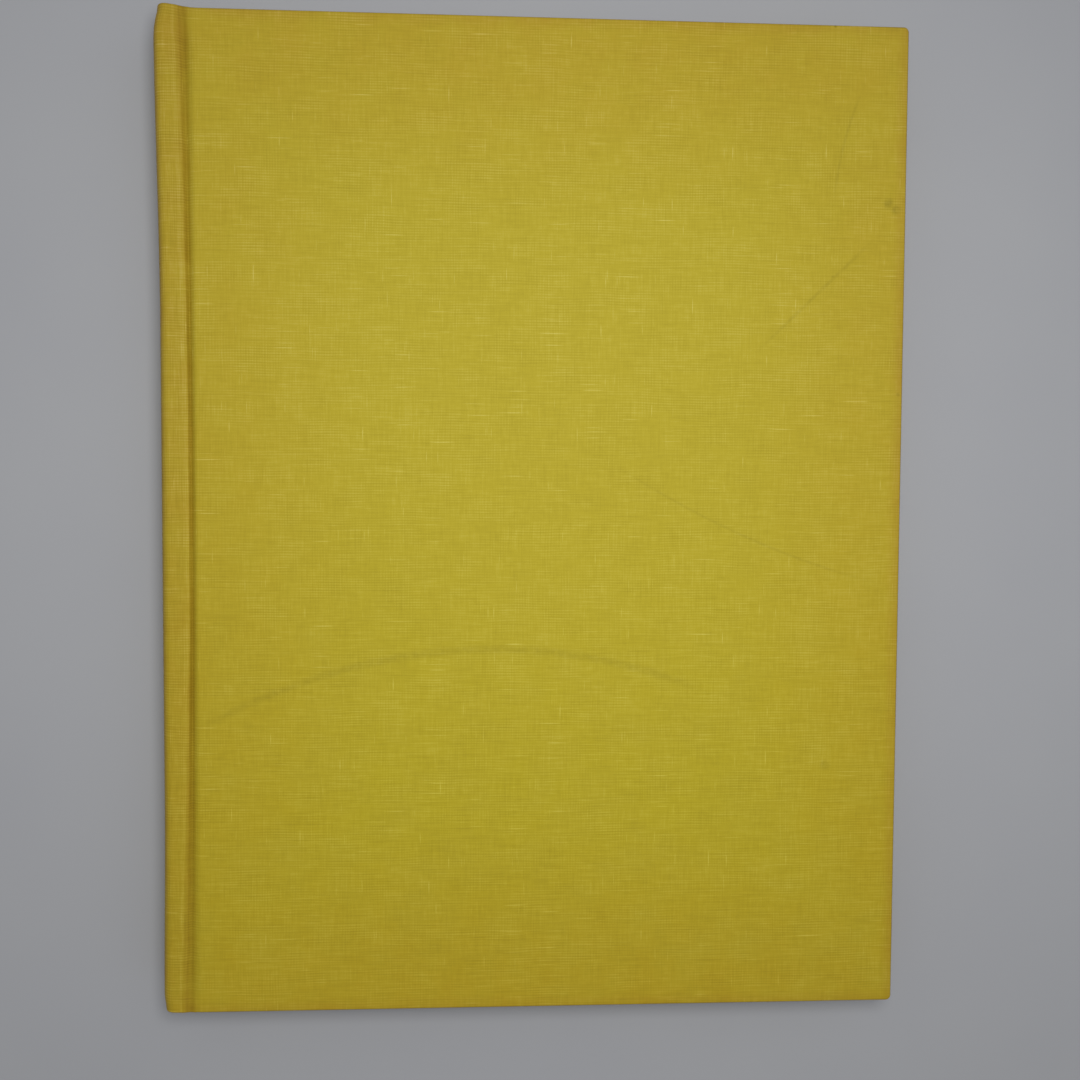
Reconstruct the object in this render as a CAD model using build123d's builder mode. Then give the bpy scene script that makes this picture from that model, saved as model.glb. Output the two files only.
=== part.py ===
# A case-bound yearbook lying on its back cover, head towards +Y and spine towards -X.
# The case is one sheet of cloth over two boards and a spine inlay. It is split at the two joint grooves, so
# that each cover can swing about the fold of its endpaper.
import os
from math import sqrt

from build123d import *

os.makedirs("parts", exist_ok=True)

# Leaves
page_width = 228.0
page_height = 304.8
text_thickness = 14.0
endpaper_thickness = 0.2
spine_round = 1.2  # how far the sewn spine bulges, and how far the fore-edge is hollowed by it

# Covers
square = 3.5  # how far the case stands past the pages at head, tail and fore-edge
board_thickness = 3.0
cloth_thickness = 0.45
turn_in = 15.0  # cloth folded over the board's edges and pressed into its inner face
joint_edge_radius = 1.1  # the board's outer edge along the joint, softened by the pressing
cover_corner_radius = 1.3
cover_edge_radius = 0.8
turn_in_edge_radius = 0.4

# Joint grooves
joint_width = 8.6  # from the sewn spine's edge to the board
groove_width = 1.75  # mouth, from the shoulder to the cloth on the board's edge
groove_wall_lean = 0.3
groove_floor_radius = 0.35
shoulder_radius = 0.65
joint_foot = 0.25  # cloth that runs out from under the board into the groove

# Spine
lining_thickness = 0.5
hollow = 0.7  # air between the lining and the inlay
inlay_thickness = 0.8
inlay_setback = 4.0  # from the case's outer faces to the inlay's long edges
spine_corner_radius = 3.3
band_bead_radius = 0.9
band_inset = 0.4  # how far the bead's middle stands in from the sewn spine
band_tape_length = 9.0
band_tape_thickness = 0.3

# Clearances
leaf_clearance = 0.05  # between each flyleaf and its pastedown
glue_line = 0.03  # between pieces that are glued face to face
hinge_clearance = 0.35  # between the cloth of the spine and that of a cover

# Heights in the section, measured from the middle of the thickness
text_half = text_thickness / 2
hinge_v = text_half + endpaper_thickness
paste_v = hinge_v + leaf_clearance
board_inner = paste_v + endpaper_thickness
board_outer = board_inner + board_thickness
cover_outer = board_outer + cloth_thickness
groove_floor = board_inner + cloth_thickness
inlay_half = cover_outer - inlay_setback

# Distances across the section, measured from the edge of the sewn spine
fore_edge = page_width + square
cover_back = joint_width - cloth_thickness
cover_start = cover_back - joint_foot
groove_end = cover_start - hinge_clearance
shoulder = cover_back - groove_width
groove_wall_foot = shoulder + groove_wall_lean

# The sewn spine is an arc, and the lining, inlay and cloth behind it are arcs about the same centre
sewn_radius = (text_half**2 + spine_round**2) / (2 * spine_round)
arc_centre = sewn_radius - spine_round
lining_radius = sewn_radius + lining_thickness
inlay_inner_radius = lining_radius + hollow
inlay_outer_radius = inlay_inner_radius + inlay_thickness
spine_inner_radius = inlay_outer_radius + glue_line
spine_outer_radius = spine_inner_radius + cloth_thickness
spine_back = arc_centre - spine_outer_radius

page_half = page_height / 2
case_half = page_half + square

# The origin is under the middle of the book, on the surface that it lies on
spine_x = -(fore_edge + spine_back) / 2
section = Plane(origin=(spine_x, 0, cover_outer), x_dir=(1, 0, 0), z_dir=(0, -1, 0))
middle = Plane(origin=(spine_x, 0, cover_outer))


def arc_u(radius, v):
    """Where the spine arc of this radius is, at a height above the middle."""
    return arc_centre - sqrt(radius**2 - v**2)


def spine_arc(radius, half):
    """A line of the section along a spine arc, from its top to its foot."""
    end = arc_u(radius, half)
    return ThreePointArc((end, half), (arc_centre - radius, 0), (end, -half))


def spine_band(inner, outer, half):
    """A face of the section between two spine arcs, with level ends."""
    with BuildSketch() as band:
        with BuildLine():
            back = spine_arc(outer, half)
            front = spine_arc(inner, half)
            Line(back @ 0, front @ 0)
            Line(back @ 1, front @ 1)
        make_face()
    return band.sketch


# Text block: the sewn and trimmed pages, bulging at the spine and hollow at the fore-edge
with BuildPart() as text_block:
    with BuildSketch(section):
        with BuildLine():
            spine = spine_arc(sewn_radius, text_half)
            fore = ThreePointArc((page_width, text_half), (page_width - spine_round, 0), (page_width, -text_half))
            Line(spine @ 0, fore @ 0)
            Line(spine @ 1, fore @ 1)
        make_face()
    extrude(amount=page_half, both=True)

# Flyleaves: each a sheet on the text block, with the round fold that its cover swings about
with BuildPart() as front_flyleaf:
    with BuildSketch(section):
        with Locations((0, text_half)):
            Rectangle(page_width, endpaper_thickness, align=(Align.MIN, Align.MIN))
        with Locations((0, hinge_v)):
            Circle(endpaper_thickness)
    extrude(amount=page_half, both=True)

# Pastedowns: the other half of each endpaper, on the board and over the edges of the turn-ins
with BuildPart() as front_pastedown:
    with BuildSketch(middle.offset(paste_v)):
        with Locations((cover_back, 0)):
            Rectangle(page_width - cover_back, page_height, align=(Align.MIN, Align.CENTER))
    extrude(amount=endpaper_thickness)

# Boards: greyboard, pressed down round three edges where the cloth is turned in
with BuildPart() as front_board:
    board_width = fore_edge - cloth_thickness - joint_width
    board_height = 2 * (case_half - cloth_thickness)
    with BuildSketch(middle.offset(board_inner)) as outline:
        with Locations((joint_width, 0)):
            Rectangle(board_width, board_height, align=(Align.MIN, Align.CENTER))
        fillet(outline.vertices().group_by(Axis.X)[-1], cover_corner_radius - cloth_thickness)
    extrude(amount=board_thickness)
    outer_face = front_board.faces().sort_by(Axis.Z)[-1]
    fillet(outer_face.edges().sort_by(Axis.X)[0], joint_edge_radius)
    with BuildSketch(middle.offset(board_inner)):
        with Locations((joint_width, 0)):
            Rectangle(board_width, board_height, align=(Align.MIN, Align.CENTER))
            Rectangle(
                board_width - turn_in,
                board_height - 2 * turn_in,
                align=(Align.MIN, Align.CENTER),
                mode=Mode.SUBTRACT,
            )
    extrude(amount=cloth_thickness, mode=Mode.SUBTRACT)

# Cover cloth: wrapped round the board, turned in on three sides and running out into the groove on the fourth
with BuildPart() as front_cloth:
    with BuildSketch(middle.offset(board_inner)) as outline:
        with Locations((cover_start, 0)):
            Rectangle(fore_edge - cover_start, 2 * case_half, align=(Align.MIN, Align.CENTER))
        fillet(outline.vertices().group_by(Axis.X)[-1], cover_corner_radius)
    extrude(amount=board_thickness + cloth_thickness)
    outer_face = front_cloth.faces().sort_by(Axis.Z)[-1]
    fillet(outer_face.edges().sort_by(Axis.X)[1:], cover_edge_radius)
    inner_face = front_cloth.faces().sort_by(Axis.Z)[0]
    fillet(inner_face.edges().sort_by(Axis.X)[1:], turn_in_edge_radius)
    with BuildSketch(section) as joint_side:
        with BuildLine():
            Polyline(
                (cover_start, board_inner),
                (cover_start, groove_floor),
                (cover_back, groove_floor),
                (cover_back, cover_outer),
                (fore_edge, cover_outer),
                (fore_edge, board_inner),
                close=True,
            )
        make_face()
        joint_corner = joint_side.vertices().sort_by_distance((cover_back, cover_outer))[0]
        fillet(joint_corner, joint_edge_radius + cloth_thickness)
    extrude(amount=case_half, both=True, mode=Mode.INTERSECT)
    add(front_board.part, mode=Mode.SUBTRACT)

# The back cover is the front one mirrored through the thickness
with BuildPart() as back_flyleaf:
    mirror(front_flyleaf.part, about=middle)
with BuildPart() as back_pastedown:
    mirror(front_pastedown.part, about=middle)
with BuildPart() as back_board:
    mirror(front_board.part, about=middle)
with BuildPart() as back_cloth:
    mirror(front_cloth.part, about=middle)

# Spine lining: gauze and paper glued to the sewn spine, between the two bands' tapes
with BuildPart() as spine_lining:
    with BuildSketch(section):
        add(spine_band(sewn_radius + glue_line, lining_radius, text_half))
    extrude(amount=page_half - band_tape_length - glue_line, both=True)

# Head band: a round woven bead on the pages' head, with its tape glued down the sewn spine
with BuildPart() as head_band:
    bead_y = page_half + glue_line + band_bead_radius
    bead_plane = section.offset(-bead_y)
    with BuildLine(bead_plane) as bead_path:
        spine_arc(sewn_radius - band_inset, text_half - band_bead_radius)
    with BuildSketch(Plane(origin=bead_path.line @ 0, z_dir=bead_path.line % 0)):
        Circle(band_bead_radius)
    sweep(path=bead_path.line)
    with BuildSketch(bead_plane):
        add(spine_band(sewn_radius + glue_line, sewn_radius + band_tape_thickness, text_half - band_bead_radius))
    extrude(amount=band_tape_length + bead_y - page_half)

with BuildPart() as tail_band:
    mirror(head_band.part, about=Plane.XZ)

# Spine inlay: a strip of card that keeps the spine's round, shorter than the case by the cloth at its ends
with BuildPart() as spine_inlay:
    with BuildSketch(section):
        add(spine_band(inlay_inner_radius, inlay_outer_radius, inlay_half))
    extrude(amount=case_half - cloth_thickness - glue_line, both=True)

# Spine cloth: round the spine, over both shoulders and down into the grooves, turned in over the inlay's ends
with BuildPart() as spine_cloth:
    with BuildSketch(section) as outline:
        with BuildLine():
            shoulder_line = Polyline(
                (groove_end, groove_floor),
                (groove_wall_foot, groove_floor),
                (shoulder, cover_outer),
                (arc_u(spine_outer_radius, cover_outer), cover_outer),
            )
            spine_arc(spine_outer_radius, cover_outer)
            mirror(shoulder_line, about=Plane.XZ)
            Line((groove_end, groove_floor), (groove_end, -groove_floor))
        make_face()
        fillet(outline.vertices().group_by(Axis.X)[0], spine_corner_radius)
        for side in (cover_outer, -cover_outer):
            fillet(outline.vertices().sort_by_distance((shoulder, side))[0], shoulder_radius)
        for side in (groove_floor, -groove_floor):
            fillet(outline.vertices().sort_by_distance((groove_wall_foot, side))[0], groove_floor_radius)
        offset(amount=-cloth_thickness, mode=Mode.SUBTRACT)
        with Locations((groove_end, 0)):
            Rectangle(2 * cloth_thickness, 2 * board_inner, mode=Mode.SUBTRACT)
    extrude(amount=case_half, both=True)
    with BuildSketch(section.offset(case_half - turn_in), section.offset(-case_half)):
        add(spine_band(inlay_inner_radius - glue_line - cloth_thickness, spine_inner_radius, inlay_half))
    extrude(amount=turn_in)
    with BuildSketch(section):
        add(spine_band(inlay_inner_radius - glue_line, spine_inner_radius, inlay_half))
    extrude(amount=case_half - cloth_thickness, both=True, mode=Mode.SUBTRACT)

pieces = {
    "text_block": text_block,
    "front_flyleaf": front_flyleaf,
    "back_flyleaf": back_flyleaf,
    "front_pastedown": front_pastedown,
    "back_pastedown": back_pastedown,
    "front_board": front_board,
    "back_board": back_board,
    "front_cloth": front_cloth,
    "back_cloth": back_cloth,
    "spine_lining": spine_lining,
    "head_band": head_band,
    "tail_band": tail_band,
    "spine_inlay": spine_inlay,
    "spine_cloth": spine_cloth,
}
for name, piece in pieces.items():
    piece.part.label = name
    export_step(piece.part, f"parts/{name}.step")

print("hinges at x", round(spine_x, 3), "z", round(cover_outer - hinge_v, 3), round(cover_outer + hinge_v, 3))
print("case", round(fore_edge - spine_back, 3), 2 * case_half, round(2 * cover_outer, 3))
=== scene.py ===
import math
import bmesh
import bpy
from mathutils import Matrix, Vector


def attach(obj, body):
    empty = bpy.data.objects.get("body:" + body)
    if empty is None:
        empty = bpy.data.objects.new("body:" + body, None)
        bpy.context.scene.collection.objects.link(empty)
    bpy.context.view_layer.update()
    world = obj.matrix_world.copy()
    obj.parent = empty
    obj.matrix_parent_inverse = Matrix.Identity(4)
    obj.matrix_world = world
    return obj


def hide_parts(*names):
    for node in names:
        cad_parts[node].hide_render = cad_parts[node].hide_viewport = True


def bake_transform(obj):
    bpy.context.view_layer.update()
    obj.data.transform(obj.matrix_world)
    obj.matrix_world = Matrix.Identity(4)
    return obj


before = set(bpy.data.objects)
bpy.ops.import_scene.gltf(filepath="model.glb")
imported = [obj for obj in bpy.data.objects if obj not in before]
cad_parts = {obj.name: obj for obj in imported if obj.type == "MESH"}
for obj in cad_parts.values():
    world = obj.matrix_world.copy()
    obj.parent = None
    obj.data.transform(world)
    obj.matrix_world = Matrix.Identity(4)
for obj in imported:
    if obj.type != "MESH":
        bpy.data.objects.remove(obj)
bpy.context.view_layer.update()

scene = bpy.context.scene
mm = 0.001
smooth = {"interpolation_type": "SMOOTHSTEP"}  # for Map Range nodes that fade softly
print("frame loaded,", len(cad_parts), "nodes")

# the book lies on its back cover, head towards +Y and spine towards -X
# u runs from the edge of the sewn spine to the fore-edge, v from the middle of the thickness outwards, in mm
book = {"spineX": -113.91, "middleZ": 10.9, "pageWidth": 228.0, "pageHalf": 152.4, "hinge": 7.2}


def place(u, v, y):
    return Vector(((book["spineX"] + u) * mm, y * mm, (book["middleZ"] + v) * mm))


def ease(x, low, high):
    t = min(1.0, max(0.0, (x - low) / (high - low)))
    return t * t * (3 - 2 * t)


def linear(code):  # sRGB hex to linear colour
    parts = [int(code[k:k + 2], 16) / 255 for k in (1, 3, 5)]
    return [c / 12.92 if c <= 0.04045 else ((c + 0.055) / 1.055) ** 2.4 for c in parts] + [1.0]


# a node, its settings, and a value or a link for each socket, where a node stands for its first output
def addNode(tree, kind, sockets={}, **settings):
    node = tree.nodes.new(kind)
    for name, value in settings.items():
        setattr(node, name, value)
    for key, value in sockets.items():
        if isinstance(value, bpy.types.Node):
            value = value.outputs[0]
        if isinstance(value, bpy.types.NodeSocket):
            tree.links.new(value, node.inputs[key])
        else:
            node.inputs[key].default_value = value
    return node


def offFrom(tree, value, line):  # how far a value lies from a line, on either side
    gap = addNode(tree, "ShaderNodeMath", {0: value, 1: line}, operation="SUBTRACT")
    return addNode(tree, "ShaderNodeMath", {0: gap}, operation="ABSOLUTE")


def seenDirectly(tree):  # 1 for what is seen plainly, mirrored or through glass, and 0 for the light that it gives
    path = addNode(tree, "ShaderNodeLightPath").outputs
    seen = path["Is Camera Ray"]
    for ray in ("Is Glossy Ray", "Is Transmission Ray"):
        seen = addNode(tree, "ShaderNodeMath", {0: seen, 1: path[ray]}, operation="MAXIMUM")
    return seen


def newMaterial(name, roughness, specular, sheen=0.0):
    material = bpy.data.materials.new(name)
    material.use_nodes = True
    shader = material.node_tree.nodes["Principled BSDF"]
    shader.inputs["Roughness"].default_value = roughness
    shader.inputs["Specular IOR Level"].default_value = specular
    shader.inputs["Sheen Weight"].default_value = sheen
    return material, material.node_tree, shader


def setLook(tree, shader, colour, height, rise, bump):  # a material's colour, and its bump with a rise in mm
    tree.links.new(colour, shader.inputs["Base Color"])
    raised = addNode(tree, "ShaderNodeBump", {"Strength": bump, "Distance": rise * mm, "Height": height})
    tree.links.new(raised.outputs["Normal"], shader.inputs["Normal"])


def newTree(name, inputs):  # a Geometry Nodes tree with named inputs
    tree = bpy.data.node_groups.new(name, "GeometryNodeTree")
    tree.interface.new_socket("Geometry", in_out="OUTPUT", socket_type="NodeSocketGeometry")
    for label, kind in inputs:
        tree.interface.new_socket(label, in_out="INPUT", socket_type="NodeSocket" + kind)
    return tree, tree.nodes.new("NodeGroupInput").outputs


def growPiece(name, tree, values):  # runs a tree and keeps what it makes as a plain mesh
    piece = bpy.data.objects.new(name, bpy.data.meshes.new(name))
    scene.collection.objects.link(piece)
    grower = piece.modifiers.new("grow", "NODES")
    grower.node_group = tree
    for item in tree.interface.items_tree:
        if item.in_out == "INPUT":
            grower[item.identifier] = values[item.name]
    depsgraph = bpy.context.evaluated_depsgraph_get()
    made = bpy.data.meshes.new_from_object(piece.evaluated_get(depsgraph), depsgraph=depsgraph)
    piece.modifiers.remove(grower)
    piece.data = made
    return piece


def dress(piece, material):
    piece.data.materials.clear()
    piece.data.materials.append(material)


def finishSheet(name, mesh, thickness, material):  # a thin sheet, with its outer face drawn
    piece = bpy.data.objects.new(name, bpy.data.meshes.new(name))
    mesh.to_mesh(piece.data)
    mesh.free()
    scene.collection.objects.link(piece)
    wall = piece.modifiers.new("thickness", "SOLIDIFY")
    wall.thickness = thickness * mm
    wall.offset = -1.0
    dress(piece, material)
    return piece


# case cloth: one sheet round both boards and the spine, in two halves that meet along the middle of the spine
# where a value has two numbers, the first is for the middle of the height and the second for the head and tail
caseCloth = {
    "thickness": 0.42,
    "arcCentre": 19.817, "arcRadius": 23.497, "cornerRadius": 3.3,
    "outer": 10.9, "inner": 7.45,
    "ridge": (7.0, 4.4), "ridgeRadius": (0.5, 2.2),
    "grooveU": (7.6, 6.4), "grooveV": (9.45, 9.8), "grooveRadius": (0.15, 1.0),
    "coverBack": (9.5, 9.5), "jointRadius": (2.0, 3.5),
    "topStart": 11.5, "foreEdge": 231.5, "half": 155.9, "planRadius": 1.7,
    "edgeRadius": 0.85, "turnRadius": 0.4, "turnIn": 15.0,
    "spineFold": 1.73, "jointFold": 0.92,  # cloth over the inlay's end, and cloth folded double in the joint
    "jointTurn": 3.2, "boardFrom": 7.7, "boardTo": 8.5,  # the joint's short turn-in, and where the board's begins
    "columns": 52, "mergeGap": 0.004, "sliver": 0.002,
}
# head and tail of the spine: the groove grows shallow over fadeRun, and the spine leans out, rounds off and flares
spineEnds = {
    "lean": 0.4, "leanTo": 156.0, "fadeFrom": 30.0, "fillFrom": 146.0, "fill": 0.6, "flareAcross": (-1.0, 11.0),
    "head": {"fadeRun": 126.0, "fadePower": 1.8, "lean": 1.3, "leanFrom": 60.0,
             "tuck": 1.2, "tuckFrom": 147.0, "tuckRun": 7.2, "flare": 1.1, "flareFrom": 128.0},
    "tail": {"fadeRun": 118.0, "fadePower": 1.5, "lean": 0.6, "leanFrom": 90.0,
             "tuck": 0.45, "tuckFrom": 150.5, "tuckRun": 3.7, "flare": -0.2, "flareFrom": 135.0},
}


def roundCorner(before, corner, after, radius, steps):
    toBefore = (Vector(before) - Vector(corner)).normalized()
    toAfter = (Vector(after) - Vector(corner)).normalized()
    half = toBefore.angle(toAfter) / 2
    centre = Vector(corner) + (toBefore + toAfter).normalized() * radius / math.sin(half)
    start = Vector(corner) + toBefore * radius / math.tan(half) - centre
    end = Vector(corner) + toAfter * radius / math.tan(half) - centre
    first = math.atan2(start.y, start.x)
    turn = (math.atan2(end.y, end.x) - first + math.pi) % (2 * math.pi) - math.pi
    angles = [first + turn * k / steps for k in range(steps + 1)]
    return [tuple(centre + Vector((math.cos(a), math.sin(a))) * radius) for a in angles]


# the cloth's outer line from the middle of the spine to the flat of the cover, with a name for each point
def sectionAt(soft):
    now = {k: v[0] * (1 - soft) + v[1] * soft if isinstance(v, tuple) else v for k, v in caseCloth.items()}
    centre, radius, corner, outer = now["arcCentre"], now["arcRadius"], now["cornerRadius"], now["outer"]
    cornerV = outer - corner
    cornerU = centre - math.sqrt((radius - corner) ** 2 - cornerV ** 2)
    meet = math.asin(cornerV / (radius - corner))
    line = [(centre - radius * math.cos(meet * k / 12), radius * math.sin(meet * k / 12), "spine")
            for k in range(13)]
    for k in range(1, 10):
        angle = math.pi - meet + (meet - math.pi / 2) * k / 9
        line.append((cornerU + corner * math.cos(angle), cornerV + corner * math.sin(angle), "corner"))
    bends = [
        ((now["ridge"], outer), now["ridgeRadius"], 6, "ridge"),
        ((now["grooveU"], now["grooveV"]), now["grooveRadius"], 8, "foot"),
        ((now["coverBack"], outer), now["jointRadius"], 7, "rear"),
    ]
    stops = [(cornerU, outer)] + [bend[0] for bend in bends] + [(now["topStart"], outer)]
    for k, (corner, size, steps, label) in enumerate(bends):
        turn = roundCorner(stops[k], corner, stops[k + 2], size, steps)
        if k == 0:
            line += [(cornerU + (turn[0][0] - cornerU) * s, outer, "shoulder") for s in (0.25, 0.5, 0.75, 0.93)]
        if label == "rear":
            startU, startV = line[-1][:2]
            line += [(startU + (turn[0][0] - startU) * s, startV + (turn[0][1] - startV) * s, "rear")
                     for s in (0.45, 0.8)]
        line += [(u, v, label) for u, v in turn]
    lastU = line[-1][0]
    return line + [(lastU + 0.5, outer, "rear"), (now["topStart"], outer, "top")]


crisp = sectionAt(0.0)
clothRun = [0.0]  # path along the cloth from the middle of the spine, in mm
for k in range(1, len(crisp)):
    clothRun.append(clothRun[-1] + math.dist(crisp[k][:2], crisp[k - 1][:2]))
# on the front cover's flat, the sheet's X is the book's X
spineMiddle = book["spineX"] + caseCloth["topStart"] - clothRun[-1]
runOf = {label: [spineMiddle + r for r, p in zip(clothRun, crisp) if p[2] == label] for label in ("corner", "foot")}


# starch-filled cotton book cloth, plain woven and dyed: matt, with fine cross threads, pale slubs, soiled edges,
# and painted shade and highlight at the groove, the ridge, the spine's rounding and the edge lines
clothLook = {
    "deep": "#8f7e0b", "body": "#b6a526", "pale": "#d8cb68",
    # the tan, tail, spine, groove, floor and edge tints darken partly as painted shade
    "tanAndShadeTint": "#fceee8", "wornTint": "#efdcfa", "tailShadeTint": "#ffffbc", "spineSoilAndShadeTint": "#e5daf3",
    "grooveDirtAndShadeTint": "#f6f2d2", "grooveFloorDirtAndShadeTint": "#e2d98a", "edgeSoilAndShadeTint": "#c6c2c8", "soil": "#7a6c10",
    "pitch": 0.84,  # the real thread pitch is about 0.7 mm, drawn wider because 0.7 mm is close to two pixels
    "thread": 0.48, "weftRun": 13.0, "warpRun": 10.0, "weftLine": 0.06, "warpLine": 0.026,
    "weftTail": 1.35, "weftSpine": 0.65, "spineThreads": 0.6,  # gain of the threads near the tail and on the spine
    "wanderSize": 25.0, "wander": 1.5, "patch": (16.0, 8.0),
    "slub": 0.28, "crestWearAndHighlight": 0.07, "crestAt": 2.3,
    "grooveShift": 0.3, "spineSide": (0.8, -1.2), "grooveWide": 2.1, "shallowShade": 0.55,
    "foreEdge": 117.59, "half": 155.9, "margin": 5.0, "shoulder": 3.6,
    "blotchesPerMm": 0.07, "breaksPerMm": 0.5,  # in the ageing, and in the scuffs and spots
    "threadHeight": 0.06, "weaveRise": 5.0, "bump": 0.35,
}
# marks on the front cover: the line y = a + b x + c x^2 in mm, from one x to another, with half width and strength
# an upright one runs along y instead, and slope makes up for how far the line lies from level
clothMarks = [
    {"line": (-40.92, -0.0737, -0.002944), "span": (-112, 62), "fade": 26,
     "wide": 2.0, "dark": 0.21, "slope": 1.04},
    {"line": (-14.3, 0.967, 0.0), "span": (68, 110), "fade": 13,
     "wide": 0.9, "dark": 0.22, "slope": 1.39},
    {"line": (35.38, -0.746, 0.002266), "span": (20, 116), "fade": 26,
     "wide": 0.7, "dark": 0.18, "slope": 1.12},
    {"line": (142.7, -1.0118, 0.005291), "span": (100, 138), "fade": 10,
     "wide": 0.7, "dark": 0.2, "slope": 1.08, "upright": True},
]
clothSpots = [  # x, y, half size and strength
    (111.9, 100.8, 2.2, 0.5), (114.4, 98.9, 2.4, 0.45), (94.0, 155.3, 0.7, 1.0),
    (94.4, -78.2, 2.4, 0.28), (116.0, 40.8, 0.9, 0.4), (94.5, 77.6, 0.9, 0.35),
]


def makeClothMaterial():
    material, tree, shader = newMaterial("starchedBookCloth", roughness=0.75, specular=0.3, sheen=0.03)
    look = clothLook
    sheet = addNode(tree, "ShaderNodeUVMap", uv_map="clothSheet")  # metres along the cloth
    at = addNode(tree, "ShaderNodeVectorMath", {0: sheet.outputs["UV"], "Scale": 1 / mm}, operation="SCALE")
    split = addNode(tree, "ShaderNodeSeparateXYZ", {0: at})
    x, y = split.outputs["X"], split.outputs["Y"]
    # the same measure for both covers: the back folded over the front
    fromMiddle = offFrom(tree, x, spineMiddle)
    across = addNode(tree, "ShaderNodeMath", {0: fromMiddle, 1: spineMiddle}, operation="ADD")
    upright = addNode(tree, "ShaderNodeMath", {0: y}, operation="ABSOLUTE")
    # the groove lies a little nearer the spine towards head and tail
    grooveAt = runOf["foot"][4]
    near, far = grooveAt + look["grooveShift"], grooveAt - look["grooveShift"]
    grooveLine = addNode(tree, "ShaderNodeMapRange", {0: upright, 1: 15.0, 2: 60.0, 3: near, 4: far}, **smooth)
    fromGroove = addNode(tree, "ShaderNodeMath", {0: across, 1: grooveLine}, operation="SUBTRACT")
    cover, spine = look["spineSide"]
    onSpine = addNode(tree, "ShaderNodeMapRange", {0: fromGroove, 1: cover, 2: spine}, **smooth)
    # tone: clouds in the dye, then weft and warp, of which the weft shows more towards the tail
    weftClear = addNode(tree, "ShaderNodeMapRange", {0: y, 1: 10.0, 2: -110.0, 3: 1.0, 4: look["weftTail"]},
                        **smooth)
    weftClear = addNode(tree, "ShaderNodeMix", {0: onSpine, 2: weftClear, 3: look["weftSpine"]}, data_type="FLOAT")
    layers = [  # size along x, size along y, detail, share, gain
        (70.0, 90.0, 2.0, 0.10, None), (9.0, 9.0, 3.0, 0.15, None), (2.4, 2.1, 2.0, 0.15, None),
        (look["weftRun"], look["thread"], 1.0, 0.24, weftClear), (look["thread"], look["warpRun"], 1.0, 0.2, None),
    ]
    threadTone, cloudTone = 0.0, 0.48
    for wide, tall, detail, share, gain in layers:
        scaled = addNode(tree, "ShaderNodeVectorMath", {0: at, 1: (1 / wide, 1 / tall, 0)}, operation="MULTIPLY")
        noise = addNode(tree, "ShaderNodeTexNoise", {"Vector": scaled, "Scale": 1.0, "Detail": detail,
                                                     "Roughness": 0.55})
        part = addNode(tree, "ShaderNodeMath", {0: noise, 1: share, 2: -share / 2}, operation="MULTIPLY_ADD")
        if gain:
            part = addNode(tree, "ShaderNodeMath", {0: part, 1: gain}, operation="MULTIPLY")
        if wide > 2 and tall > 2:
            cloudTone = addNode(tree, "ShaderNodeMath", {0: part, 1: cloudTone}, operation="ADD")
        else:
            threadTone = addNode(tree, "ShaderNodeMath", {0: part, 1: threadTone}, operation="ADD")
    # plain weave: fine lines of weft and fainter ones of warp, which wander a little and show in patches
    wander = addNode(tree, "ShaderNodeTexNoise", {"Vector": at, "Scale": 1 / look["wanderSize"], "Detail": 1.0})
    weave = 0.0
    for axis, share in ((y, look["weftLine"]), (x, look["warpLine"])):
        moved = addNode(tree, "ShaderNodeMath", {0: wander, 1: look["wander"], 2: axis}, operation="MULTIPLY_ADD")
        turn = addNode(tree, "ShaderNodeMath", {0: moved, 1: 2 * math.pi / look["pitch"]}, operation="MULTIPLY")
        wave = addNode(tree, "ShaderNodeMath", {0: turn}, operation="SINE")
        weave = addNode(tree, "ShaderNodeMath", {0: wave, 1: share, 2: weave}, operation="MULTIPLY_ADD")
    spread = addNode(tree, "ShaderNodeVectorMath", {0: at, 1: (1 / look["patch"][0], 1 / look["patch"][1], 0)},
                     operation="MULTIPLY")
    patches = addNode(tree, "ShaderNodeTexNoise", {"Vector": spread, "Scale": 1.0, "Detail": 2.0})
    patches = addNode(tree, "ShaderNodeMapRange", {0: patches, 1: 0.35, 2: 0.65, 3: 0.2, 4: 1.3})
    threadTone = addNode(tree, "ShaderNodeMath", {0: weave, 1: patches, 2: threadTone}, operation="MULTIPLY_ADD")
    # the handled spine shows its threads more
    clear = addNode(tree, "ShaderNodeMath", {0: onSpine, 1: look["spineThreads"], 2: 1.0}, operation="MULTIPLY_ADD")
    tone = addNode(tree, "ShaderNodeMath", {0: threadTone, 1: clear, 2: cloudTone}, operation="MULTIPLY_ADD")
    # slubs: short thick places in single threads, paler because they take less dye
    slub = 0.0
    for wide, tall, low in ((12.0, 0.45, 0.74), (0.45, 8.0, 0.76)):  # the higher the low end, the fewer
        scaled = addNode(tree, "ShaderNodeVectorMath", {0: at, 1: (1 / wide, 1 / tall, 0)}, operation="MULTIPLY")
        noise = addNode(tree, "ShaderNodeTexNoise", {"Vector": scaled, "Scale": 1.0, "Detail": 0.0})
        one = addNode(tree, "ShaderNodeMapRange", {0: noise, 1: low, 2: low + 0.14, 3: 0.0, 4: look["slub"]})
        slub = addNode(tree, "ShaderNodeMath", {0: slub, 1: one}, operation="MAXIMUM")
    tone = addNode(tree, "ShaderNodeMath", {0: tone, 1: slub}, operation="ADD")
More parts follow.
